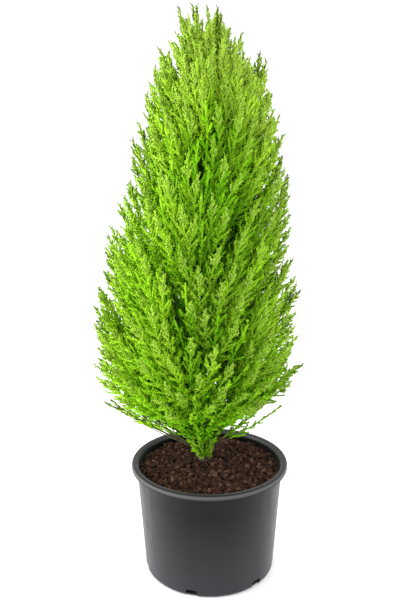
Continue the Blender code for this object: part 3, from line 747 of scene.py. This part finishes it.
def plume_list():
    """Where each plume starts and how it grows.

    The columns are a point behind its root, its root, tip, depth and width, the share of its length
    that is bare and the share of its shoots that is dark.
    """
    tips, depths = plume_tips()
    h, share, azimuth = crown_place(tips)
    on_outline = crown_point(h, np.ones_like(share), azimuth)
    owner = np.linalg.norm(on_outline[:, None] - mass_tips, axis=-1).argmin(axis=1)
    turn = (azimuth - mass_azimuths[owner] + np.pi) % (2 * np.pi) - np.pi
    inner, fill = share < INNER_SHARE, depths > 0
    spread = np.where(inner, INNER_SPREAD, np.where(fill, FILL_SPREAD, OUTER_SPREAD))
    start = np.where(fill, FILL_ROOT, OUTER_ROOT)
    start = np.where(inner, np.maximum(INNER_ROOT, share - INNER_SPAN), start)
    root_h = mass_heights[owner] + (h - mass_heights[owner]) * spread
    roots = crown_point(root_h, start, mass_azimuths[owner] + turn * spread)
    back = np.maximum(start - BEHIND_SPAN, BEHIND_LEAST)
    behind = crown_point(mass_heights[owner], back, mass_azimuths[owner])
    high = tips[:, 2] > TOP_TIPS
    set_on_axis(roots, behind, high, np.clip(tips[:, 2] - TOP_LENGTH, *TOP_ROOTS))
    sprays = len(LEADERS + STRAYS + LOW_SPRAYS)
    low = slice(-len(LOW_SPRAYS), None)
    foot = np.zeros(len(tips), bool)
    foot[-sprays - FOOT_PLUMES:-sprays] = True
    foot[low] = True
    above_foot = TRUNK_FOOT + FOOT_ROOT + FOOT_ROOT_RISE * (tips[:, 2] - FOOT_HEIGHTS[0])
    set_on_axis(roots, behind, foot, above_foot)
    foot[low] = False
    roots[foot] += FOOT_ROOT_OUT * unit((tips - roots) * (1, 1, 0))[foot]
    width = np.where(high, TOP_WIDTH, 1.0)
    width[foot] = FOOT_WIDTH
    bare = np.full(len(tips), BARE)
    dark = np.zeros(len(tips))
    dark[-sprays:] = STRAY_DARK
    leafy = tips[low, 0] > 0
    width[low] = np.where(leafy, LEAFY_WIDTH, TWIGGY_WIDTH)
    bare[low] = np.where(leafy, LEAFY_BARE, TWIGGY_BARE)
    dark[low] = np.where(leafy, 0.0, TWIGGY_DARK)
    return behind, roots, tips, depths, width, bare, dark


def evenly(span, number, count):
    low, high = span
    return low + (high - low) * (number + 0.5) / count


def round_axis(height, r, azimuth):
    x, y = axis_at(height)
    return x + r * math.cos(azimuth), y + r * math.sin(azimuth), height


def set_on_axis(roots, behind, chosen, heights):
    """Moves the chosen plumes' roots to the trunk's centre line at the heights."""
    x, y = axis_at(heights)
    roots[chosen] = np.stack([x, y, heights], -1)[chosen]
    behind[chosen] = roots[chosen] - (0, 0, AXIS_DROP)


def above_skirt(points):
    """True above the cone under which the lowest boughs are bare."""
    x, y = axis_at(points[:, 2])
    r = np.hypot(points[:, 0] - x, points[:, 1] - y)
    return points[:, 2] > np.interp(r, SKIRT[:, 0], SKIRT[:, 1])


def plume_frame(root, tip, roll):
    """Directions across a plume, along it and out of the crown, rolled a little about its length."""
    along = unit(tip - root)
    x, y = axis_at(root[2])
    outward = np.array((tip[0] - x, tip[1] - y, 0.0))
    if np.linalg.norm(outward) < UPRIGHT:
        outward = np.array((math.cos(roll * UPRIGHT_TURN), math.sin(roll * UPRIGHT_TURN), 0.0))
    normal = Vector(unit(outward - along * (outward @ along)))
    normal.rotate(Matrix.Rotation(roll, 3, Vector(along)))
    normal = np.array(normal)
    return np.cross(along, normal), along, normal


def grow_plume(behind, root, tip, depth, width, bare, dark):
    """Shoots of one plume, and the line of its own axis from the bough.

    The shoots are columns of starts, directions, bends, lengths, radii, shades and scales.
    """
    across, along, normal = plume_frame(root, tip, rng.uniform(-PLUME_ROLL, PLUME_ROLL))
    length = np.linalg.norm(tip - root)
    bow = rng.uniform(*PLUME_BOW) * length
    sway = rng.normal(0, PLUME_SWAY) * length
    coarse = INNER_SCALE if depth else 1.0

    def axis_point(s):
        s = np.asarray(s)[..., None]
        return root + along * (length * s) + (normal * bow + across * sway) * (4 * s * (1 - s))

    def axis_direction(s):
        s = np.asarray(s)[..., None]
        return unit(along * length + (normal * bow + across * sway) * (4 - 8 * s))

    count = max(LEAST_SHOOTS, int(length * (1 - bare) / SHOOT_SPACING / coarse))
    s = np.linspace(bare, LAST_SHOOT, count) + rng.normal(0, SHOOT_JITTER, count)
    s = np.clip(s, 0.02, 0.98)
    if not depth:
        s = np.concatenate([s, 1 - np.linspace(*KNOB_SPAN, KNOB_SHOOTS) / length])
        count += KNOB_SHOOTS
    around = np.arange(count) * GOLDEN_ANGLE + rng.uniform(*ANY_ANGLE) + rng.normal(0, TURN_JITTER, count)
    sideways = across * np.cos(around)[:, None] + normal * (PLUME_FLATNESS * np.sin(around))[:, None]
    angle = np.radians(np.interp(s, (0, 1), SHOOT_ANGLES) + rng.normal(0, ANGLE_JITTER, count))
    heading = axis_direction(s)
    direction = between(heading, unit(sideways), angle)
    profile = np.interp(s, SHOOT_PROFILE[:, 0], SHOOT_PROFILE[:, 1])
    long = length * width * profile * rng.uniform(*SHOOT_LENGTHS, count)
    long = np.maximum(long, KNOB_LENGTH * rng.uniform(*KNOB_LENGTHS, count))
    stem = np.linspace(bare * STEM_START, 1, STEM_JOINTS)
    joint = axis_point(stem)
    step = np.diff(joint, axis=0)
    radii = np.concatenate([np.full(count, SHOOT_RADIUS), np.full(len(step), STEM_RADIUS)])
    first = [
        np.concatenate([axis_point(s), joint[:-1]]),
        np.concatenate([direction, unit(step)]),
        np.concatenate([(heading - direction) * SHOOT_BEND, np.zeros_like(step)]),
        np.concatenate([long, np.linalg.norm(step, axis=1)]),
        radii * math.sqrt(coarse),
        plume_shades(s, stem[1:], tip, depth, dark),
        np.full(count + len(step), coarse),
    ]
    second = side_shoots(first, count, coarse)
    reach = axis_point(np.linspace(0, max(STALK_END, bare), STALK_POINTS))
    line = np.concatenate([[behind, (behind + root) / 2 + normal * STALK_BOW], reach])
    return [np.concatenate(pair) for pair in zip(first, second)], line


def side_shoots(shoots, count, coarse):
    """The short shoots on the first count shoots of a plume."""
    long, shade = shoots[3][:count], shoots[5][:count]
    each = np.maximum((long / SIDE_SPACING / coarse**SIDE_THINNING).astype(int) - 1, 0)
    owner, order = numbered(each)
    t = (order + 1.0) / (each[owner] + 1.0)
    heading = shoot_heading(shoots, owner, t)
    turn = order * GOLDEN_ANGLE + owner * SIDE_TURN + rng.normal(0, SIDE_TURN_JITTER, len(owner))
    lean = np.radians(rng.uniform(*SIDE_ANGLES, len(owner)))
    direction = between(heading, between(*frames_across(heading), turn), lean)
    size = coarse * np.minimum(SIDE_LENGTH, SIDE_SHARE * long[owner]) * falling(t, SIDE_TAPER)
    return [
        shoot_point(shoots, owner, t),
        direction,
        (heading - direction) * SIDE_BEND,
        size * rng.uniform(*SIDE_LENGTHS, len(owner)),
        np.full(len(owner), SIDE_RADIUS * math.sqrt(coarse)),
        shade[owner] + SIDE_LIGHTER * t,
        np.full(len(owner), coarse),
    ]


def falling(t, rule):
    """A factor along a shoot: how high it starts, how far it falls and with which power."""
    start, fall, power = rule
    return start - fall * t**power


def numbered(each):
    """With each[n] things on row n: the row of every thing, and its number there."""
    owner = np.repeat(np.arange(len(each)), each)
    return owner, np.arange(len(owner)) - np.repeat(np.cumsum(each) - each, each)


def shoot_point(shoots, index, t):
    start, direction, bend, long = (part[index] for part in shoots[:4])
    return start + long[:, None] * (direction * t[:, None] + bend * (t**2)[:, None])


def shoot_heading(shoots, index, t):
    return unit(shoots[1][index] + 2 * shoots[2][index] * t[:, None])


def frames_across(heading):
    side = unit(np.cross(heading, ASIDE))
    return side, np.cross(heading, side)


def soft_normals(points, radial):
    """Normals that lean out of the crown, so that light falls on a spray as on one soft form."""
    x, y = axis_at(points[..., 2])
    lift = np.full(points.shape[:-1], NORMAL_LIFT)
    away = np.stack([points[..., 0] - x, points[..., 1] - y, lift], -1)
    return unit(unit(away) + NORMAL_SPREAD * radial)


def plume_shades(s, stem, tip, depth, dark):
    """Shades of a plume's shoots, at shares s of its length, and of its stem, at the shares stem."""
    mood = spray_mood(tip, depth)
    base = SUNNY_SHADE if rng.uniform() < sunny_share(tip) else 0
    shade = ROOT_SHADE + SHADE_RISE * s + mood + rng.normal(0, SHADE_JITTER, len(s))
    shade = base + np.clip(shade, 0, LIGHTEST)
    if not depth:
        shade[-KNOB_SHOOTS:] = TIP_SHADE
    if dark:
        shade[int(len(shade) * (1 - dark)):] = DARK_TIP_SHADE
    stem_shade = base + np.clip(ROOT_SHADE + SHADE_RISE * stem + mood, 0, LIGHTEST)
    return np.concatenate([shade, stem_shade])


def spray_mood(tip, depth):
    """By how many steps of colour a spray is lighter than the rule for all of them. The steps hold the
    deeper green of inner growth with painted shade inside the crown, painted shade in the hollow of its
    upper front, and painted light on the crown's left.
    """
    x, _, z = tip
    mood = rng.normal(0, SPRAY_JITTER) - DEPTH_DARK[depth]
    mood += np.interp(z, *TOP_YELLOW) + np.interp(-x, *LEFT_PAINTED_LIGHT) * depth + np.interp(x, *RIGHT_YELLOW)
    return mood - HOLLOW_PAINTED_SHADE * hollow(tip)


def sunny_share(tip):
    """How likely a spray is to take a sunny colour, which is painted light: most on the crown's left and at
    its top.
    """
    x, _, z = tip
    sides = zip((-x, z, x, -z), SUNNY_SIDES)
    return max(min((place - start) / span, most) for place, (start, span, most) in sides) - hollow(tip)


def hollow(tip):
    """How far a spray lies in the shaded hollow of the crown's upper front, where it takes painted shade,
    from 0 to 1.
    """
    x, y, z = tip
    if y >= 0:
        return 0
    along = (x - HOLLOW_CENTRE[0]) / HOLLOW_SIZE[0]
    up = (z - HOLLOW_CENTRE[1]) / HOLLOW_SIZE[1]
    return math.exp(-(along**2) - up**2)


def shade_of(value):
    """Number of the colour for each shade: a shady one, a sunny one, the tips' or the dark tips'."""
    sunny = value > SUNNY_SHADE / 2
    step = np.clip(np.round(value - SUNNY_SHADE * sunny), 0, LIGHTEST)
    colour = step + len(SHADY_COLOURS) * sunny
    colour = np.where(value > TIP_SHADE / 2, len(ALL_COLOURS) - 2, colour)
    return np.where(value > (TIP_SHADE + DARK_TIP_SHADE) / 2, len(ALL_COLOURS) - 1, colour).astype(int)


def repeated(points, pattern):
    """One small pattern of triangles over each row of points."""
    rows, size = points.shape[:2]
    triangles = np.array(pattern)[None] + (np.arange(rows) * size)[:, None, None]
    return points.reshape(-1, 3), triangles.reshape(-1, 3)


def add_spray_piece(name, points, triangles, material, material_index=None, normals=None):
    piece = array_mesh(name, points, triangles, material, normals is not None, material_index, normals)
    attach(piece, "root")
    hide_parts(*[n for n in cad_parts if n.startswith("foliage")])


def add_stalks(name, lines, material):
    """Thin tubes along the plumes' own axes, from the boughs."""
    tubes = []
    for line in lines:
        radii = np.interp(np.linspace(0, 1, len(line)), *STALK_TAPER)
        tubes.append(tube(line, radii, STALK_SIDES))
    add_spray_piece(name, *joined(tubes), material)


def make_twigs(shoots, greens):
    """Three-sided twigs: long ones in two lengths, short ones as one spike."""
    count = len(shoots[0])
    index = np.arange(count)
    widest = np.full(count, TWIG_WIDEST)
    side, other = frames_across(shoot_heading(shoots, index, widest))
    ring = between(side[:, None], other[:, None], ring_angles(3))
    radius = shoots[4][:, None, None]
    base = shoot_point(shoots, index, np.zeros(count))[:, None] + ring * (radius * TWIG_BASE)
    middle = shoot_point(shoots, index, widest)[:, None] + ring * radius
    tip = shoot_point(shoots, index, np.ones(count))[:, None]
    ring_soft, tip_soft = soft_normals(base, ring), soft_normals(tip, 0.0)
    shade = shade_of(shoots[5])
    main = shoots[3] > LONG_TWIG
    for name, chosen, parts, soft, pattern in (
        ("twigs_green", main, (base, middle, tip), (ring_soft, ring_soft, tip_soft), LONG_TWIG_FACES),
        ("twigs_fine", ~main, (base, tip), (ring_soft, tip_soft), SHORT_TWIG_FACES),
    ):
        points = np.concatenate([part[chosen] for part in parts], axis=1)
        normals = np.concatenate([part[chosen] for part in soft], axis=1)
        colours = np.repeat(shade[chosen], len(pattern))
        add_spray_piece(name, *repeated(points, pattern), greens, colours, normals)


def make_needles(shoots, materials):
    """Needles round every shoot, each two triangles folded along the middle, joined by colour."""
    long, scale = shoots[3], shoots[6]
    each = np.maximum((long / NEEDLE_SPACING / scale**NEEDLE_THINNING).astype(int), LEAST_NEEDLES)
    index, order = numbered(each)
    count, scale = len(index), scale[index]
    t = (order + FIRST_NEEDLE) / each[index]
    heading = shoot_heading(shoots, index, t)
    around = order * GOLDEN_ANGLE + rng.normal(0, NEEDLE_TURN_JITTER, count) + index * NEEDLE_TURN
    radial = between(*frames_across(heading), around)
    angle = np.radians(NEEDLE_ANGLE * falling(t, NEEDLE_RISE) + rng.normal(0, ANGLE_JITTER, count))
    direction = between(heading, radial, angle)
    flat = unit(np.cross(direction, radial))
    up = np.cross(flat, direction)
    size = NEEDLE_LENGTH * scale * falling(t, NEEDLE_TAPER) * rng.uniform(*NEEDLE_LENGTHS, count)
    base = shoot_point(shoots, index, t * LAST_NEEDLE)
    half = (NEEDLE_WIDTH / 2 * scale * rng.uniform(*NEEDLE_WIDTHS, count))[:, None]
    middle = base + direction * (size * NEEDLE_WIDEST)[:, None]
    left = middle - flat * half + up * half * NEEDLE_FOLD
    right = middle + flat * half + up * half * NEEDLE_FOLD
    tip = base + direction * size[:, None] - up * (size * NEEDLE_DROOP)[:, None]
    normals = soft_normals(base, radial)
    turned = ((np.cross(left - base, tip - base) * normals).sum(-1) < 0)[:, None]
    points = np.stack([base, np.where(turned, right, left), tip, np.where(turned, left, right)], axis=1)
    normals = np.repeat(normals[:, None], 4, axis=1)
    lighter = NEEDLE_SHADE_RISE * (t - NEEDLE_SHADE_CENTRE)
    shade = shade_of(shoots[5][index] + lighter + rng.normal(0, NEEDLE_SHADE_JITTER, count))
    for number, material in enumerate(materials):
        mine = shade == number
        mesh = repeated(points[mine], NEEDLE_FACES)
        add_spray_piece(f"needles_{number + 1}", *mesh, material, None, normals[mine])


def make_foliage():
    plumes = plume_list()
    grown = [grow_plume(*row) for row in zip(*plumes)]
    low = plumes[5] > BARE
    shoots = [np.concatenate(group) for group in zip(*[rows for rows, _ in grown])]
    leafy = above_skirt(shoots[0]) | np.repeat(low, [len(rows[0]) for rows, _ in grown])
    shoots = [part[leafy] for part in shoots]
    woody = twig_material("twig_woody", *WOODY_COLOURS)
    young = twig_material("twig_young", *YOUNG_COLOURS)
    materials = [needle_material(f"needles_shade_{n + 1}", c) for n, c in enumerate(ALL_COLOURS)]
    lines = [line[above_skirt(line)] for (_, line), is_low in zip(grown, low) if not is_low]
    add_stalks("twigs_inner", [line for line in lines if len(line) > 2], young)
    add_stalks("twigs_bare", [line for (_, line), is_low in zip(grown, low) if is_low], woody)
    make_twigs(shoots, materials)
    make_needles(shoots, materials)


# Pot

def rounded(corners, steps=5):
    """A closed outline through the corners, each rounded over its third value on either side."""
    places = np.array(corners)[:, :2]
    outline = []
    for number, here in enumerate(places):
        before, after, cut = places[number - 1], places[(number + 1) % len(places)], corners[number][2]
        if not cut:
            outline.append(here)
            continue
        start, end = here + unit(before - here) * cut, here + unit(after - here) * cut
        for u in np.linspace(0, 1, steps + 1):
            outline.append((1 - u) ** 2 * start + 2 * u * (1 - u) * here + u**2 * end)
    return outline


def pot_profile():
    under_lip = POT_HEIGHT - LIP_DROP
    return rounded((
        # distance from the axis, height, length that the rounding takes
        (WALL_TOP_RADIUS - 0.0006, POT_HEIGHT - 0.0005, 0.0008),
        (RIM_RADIUS - 0.0026, POT_HEIGHT, 0.0018),
        (RIM_RADIUS, POT_HEIGHT - 0.0030, 0.0024),
        (RIM_RADIUS - 0.0004, under_lip, 0.0006),
        (RIM_RADIUS - 0.0022, under_lip, 0.0006),
        (RIM_RADIUS - 0.0032, POT_HEIGHT - 0.0032, 0.0010),
        (WALL_TOP_RADIUS + 0.0022, POT_HEIGHT - 0.0034, 0.0012),
        (WALL_TOP_RADIUS + 0.0002, under_lip + 0.0010, 0),
        (BASE_RADIUS, CORNER, 0.0026),
        (BASE_RADIUS - CORNER, 0.0, 0.0016),
        (0.0, 0.0, 0),
        (0.0, BASE_THICKNESS, 0),
        (BASE_RADIUS - WALL - CORNER, BASE_THICKNESS, 0),
        (BASE_RADIUS - WALL, CORNER + BASE_THICKNESS, 0.0020),
        (WALL_TOP_RADIUS - 0.0020, POT_HEIGHT - 0.0050, 0.0010),
    ))


def turned_profile(block, profile, sides):
    """Faces of a profile turned about the Z axis. A point on the axis is one corner for all of them."""
    angles = ring_angles(sides)
    rings = []
    for r, z in profile:
        if r > 0:
            rings.append([block.verts.new((r * math.cos(a), r * math.sin(a), z)) for a in angles])
        else:
            rings.append([block.verts.new((0, 0, z))] * sides)
    for a, b in zip(rings, rings[1:] + rings[:1]):
        for i in range(sides):
            j = (i + 1) % sides
            corners = list(dict.fromkeys((a[i], b[i], b[j], a[j])))
            if len(corners) > 2:
                block.faces.new(corners)


def make_pot():
    block = bmesh.new()
    turned_profile(block, pot_profile(), POT_SIDES)
    pot = block_object("pot_shell", block)
    cutter = drain_cutter()
    cut = pot.modifiers.new("drains", "BOOLEAN")
    cut.object = cutter
    cut.solver = "EXACT"
    graph = bpy.context.evaluated_depsgraph_get()
    shell = bpy.data.meshes.new_from_object(pot.evaluated_get(graph))
    pot.modifiers.clear()
    pot.data = shell
    bpy.data.objects.remove(cutter)
    shell.polygons.foreach_set("use_smooth", np.ones(len(shell.polygons), bool))
    shell.set_sharp_from_angle(angle=SHARP)
    shell.materials.clear()
    shell.materials.append(pot_material())
    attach(pot, "root")
    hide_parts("pot")


def drain_cutter():
    """Round-topped blocks at the corner between the pot's wall and its base."""
    half = DRAIN_WIDTH / 2
    right = [
        (half, -DRAIN_UNDER),
        (half, DRAIN_HEIGHT - DRAIN_ROUND),
        (half - DRAIN_BEVEL, DRAIN_HEIGHT - DRAIN_BEVEL),
        (half - DRAIN_ROUND, DRAIN_HEIGHT),
    ]
    shape = right + [(-y, z) for y, z in reversed(right)]
    block = bmesh.new()
    for number in range(DRAIN_HOLES):
        turn = Matrix.Rotation(DRAIN_PHASE + number * 2 * math.pi / DRAIN_HOLES, 4, "Z")
        near, far = (
            [block.verts.new(turn @ Vector((x, y, z))) for y, z in shape]
            for x in (BASE_RADIUS - DRAIN_DEPTH, BASE_RADIUS + DRAIN_OUTSIDE)
        )
        block.faces.new(near[::-1])
        block.faces.new(far)
        for i in range(len(shape)):
            j = (i + 1) % len(shape)
            block.faces.new((near[i], near[j], far[j], far[i]))
    return block_object("drain_cutter", block)


def pot_material():
    """Satin black, lighter towards the base as pale dust and as a painted reflection of the floor, near
    black towards the rim as painted shade, with a painted highlight along the lip's outer edge.
    """
    material, tree, shader = node_material("black_plastic", roughness=0.36)
    shader.inputs["Specular IOR Level"].default_value = 0.08
    shader.inputs["Sheen Weight"].default_value = 0.10
    shader.inputs["Sheen Roughness"].default_value = 0.50
    place = tree.nodes.new("ShaderNodeTexCoord")
    split = tree.nodes.new("ShaderNodeSeparateXYZ")
    tree.links.new(place.outputs["Object"], split.inputs["Vector"])
    height = tree.nodes.new("ShaderNodeMapRange")
    height.inputs["From Max"].default_value = POT_HEIGHT
    height.inputs["To Max"].default_value = RIM_LEVEL
    tree.links.new(split.outputs["Z"], height.inputs["Value"])
    uneven = tree.nodes.new("ShaderNodeMath")
    uneven.operation = "MULTIPLY_ADD"
    tree.links.new(noise(tree, scale=30, detail=4.0, roughness=0.55), uneven.inputs[0])
    uneven.inputs[1].default_value = 0.06
    tree.links.new(height.outputs["Result"], uneven.inputs[2])
    # Painted highlight: a pale band along the lip's rounded outer edge
    painted_lip_highlight = tree.nodes.new("ShaderNodeMix")
    painted_lip_highlight.data_type = "RGBA"
    tree.links.new(ramp(tree, height.outputs["Result"], PAINTED_LIP_HIGHLIGHT_BAND), painted_lip_highlight.inputs["Factor"])
    tree.links.new(ramp(tree, uneven.outputs["Value"], DUST_AND_PAINTED_LIGHT_SHADES), painted_lip_highlight.inputs["A"])
    painted_lip_highlight.inputs["B"].default_value = PAINTED_LIP_HIGHLIGHT_COLOUR
    tree.links.new(painted_lip_highlight.outputs["Result"], shader.inputs["Base Color"])
    streaks = noise(tree, scale=90, detail=4.0, roughness=0.6, stretch=(1.0, 1.0, 0.35))
    tree.links.new(ramp(tree, streaks, GLOSS), shader.inputs["Roughness"])
    bump(tree, shader, noise(tree, scale=900, detail=2.0), strength=0.10, distance=0.0003)
    return material


# Potting mix

def mix_height(x, y):
    """Height of the mix: a low dome with lumps."""
    lumps = MIX_LUMP * np.sin(x * 190 + 1.1) * np.sin(y * 170 + 0.4)
    lumps += MIX_SMALL_LUMP * np.sin(x * 410 + y * 260)
    return np.interp(np.hypot(x, y), *MIX_DOME) + lumps


def make_mix_bed():
    """The surface under the chips."""
    material, tree, shader = node_material("potting_mix", roughness=0.95)
    colour_by(tree, shader, noise(tree, scale=210, detail=6.0, roughness=0.68), MIX_SHADES)
    bump(tree, shader, noise(tree, scale=520, detail=5.0, roughness=0.65), strength=1.0, distance=0.0012)
    r, angle = np.meshgrid(np.linspace(0.0, MIX_RADIUS, MIX_RINGS), ring_angles(MIX_SIDES), indexing="ij")
    x, y = r * np.cos(angle), r * np.sin(angle)
    z = mix_height(x, y) - MIX_BED_DROP + rng.normal(0, MIX_BED_GRAIN, x.shape)
    points = np.stack([x, y, z], -1).reshape(-1, 3)
    triangles = ring_faces(np.arange(x.size).reshape(x.shape))[:, ::-1]
    ground = array_mesh("mix_bed", points, triangles, material, True)
    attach(ground, "root")
    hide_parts("potting_mix")


def chip_material(name, dark, light):
    material, tree, shader = node_material(name, roughness=0.9)
    shader.inputs["Specular IOR Level"].default_value = 0.12
    grain = noise(tree, scale=330, detail=5.0, roughness=0.62)
    colour_by(tree, shader, grain, ((0.34, dark), (0.68, light)))
    bump(tree, shader, noise(tree, scale=760, detail=4.0, roughness=0.6), strength=0.9, distance=0.0007)
    return material


def round_form():
    """Corners and triangles of a twenty-sided ball."""
    block = bmesh.new()
    bmesh.ops.create_icosphere(block, subdivisions=1, radius=1.0)
    form = np.array([v.co[:] for v in block.verts])
    faces = np.array([[v.index for v in f.verts] for f in block.faces])
    block.free()
    return form, faces


def make_chips(name, count, material):
    """Bark chips strewn over the mix, each a ball squared off, roughened and tilted."""
    form, faces = round_form()
    pieces = []
    for _ in range(count):
        r = CHIP_SPREAD * math.sqrt(rng.uniform(0, 1))
        a = rng.uniform(0, 2 * math.pi)
        long = rng.uniform(*CHIP_SIZES)
        size = long * np.array((1, rng.uniform(*CHIP_WIDTHS), rng.uniform(*CHIP_HEIGHTS)))
        if r > NEAR_WALL:
            size *= NEAR_WALL_SIZE
        chunk = np.sign(form) * np.abs(form) ** rng.uniform(*CHIP_SQUARENESS)
        chunk *= rng.uniform(*CHIP_ROUGHNESS, form.shape)
        turn = Matrix.Rotation(rng.uniform(*ANY_ANGLE), 3, "Z")
        for axis in "XY":
            turn = turn @ Matrix.Rotation(rng.normal(0, CHIP_TILT), 3, axis)
        x, y = r * math.cos(a), r * math.sin(a)
        z = mix_height(x, y) - CHIP_DEPTH + rng.uniform(*CHIP_LIFT)
        pieces.append(((chunk * size) @ np.array(turn).T + (x, y, z), faces))
    points, triangles = joined(pieces)
    chips = array_mesh(name, points, triangles, material)
    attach(chips, "root")
    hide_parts("potting_mix")


def make_mix():
    make_mix_bed()
    for number, (count, dark, light) in enumerate(CHIP_KINDS):
        name = f"bark_chips_{number + 1}"
        make_chips(name, count, chip_material(name, dark, light))


# Stage

def make_stage():
    mesh = bpy.data.meshes.new("floor")
    corners = [(x * FLOOR_SIZE, y * FLOOR_SIZE, 0) for x, y in ((-1, -1), (1, -1), (1, 1), (-1, 1))]
    mesh.from_pydata(corners, [], [(0, 1, 2, 3)])
    floor = placed("floor", mesh)
    material, _, shader = node_material("floor", roughness=0.8)
    shader.inputs["Base Color"].default_value = FLOOR_COLOUR
    shader.inputs["Specular IOR Level"].default_value = 0.0
    mesh.materials.append(material)


def make_lights():
    world = bpy.data.worlds.new("studio")
    bpy.context.scene.world = world
    world.use_nodes = True
    background = world.node_tree.nodes["Background"]
    background.inputs["Color"].default_value = (*WHITE, 1.0)
    background.inputs["Strength"].default_value = WORLD_STRENGTH
    for name, place, target, size, power in LIGHTS:
        data = bpy.data.lights.new(name, "AREA")
        data.shape = "RECTANGLE"
        data.size, data.size_y = size
        data.energy = power
        light = placed(name, data)
        light.location = place
        light.rotation_euler = (Vector(target) - Vector(place)).to_track_quat("-Z", "Y").to_euler()


def make_camera():
    data = bpy.data.cameras.new("camera")
    data.sensor_fit = "VERTICAL"
    data.sensor_height = SENSOR_HEIGHT
    data.lens = FOCAL_PX / PHOTO_HEIGHT * data.sensor_height
    data.shift_x = (PHOTO_WIDTH / 2 - POT_AXIS_PX) / PHOTO_HEIGHT
    data.clip_start = 0.01
    camera = placed("camera", data)
    camera.location = (0, -CAMERA_DISTANCE, CAMERA_HEIGHT)
    camera.rotation_euler = (math.pi / 2 - CAMERA_PITCH, 0, 0)
    bpy.context.scene.camera = camera


bark = bark_material()
make_trunk(bark)
make_boughs(bark)
make_foliage()
make_pot()
make_mix()
make_stage()
make_lights()
make_camera()
bpy.context.scene.view_settings.view_transform = "Standard"
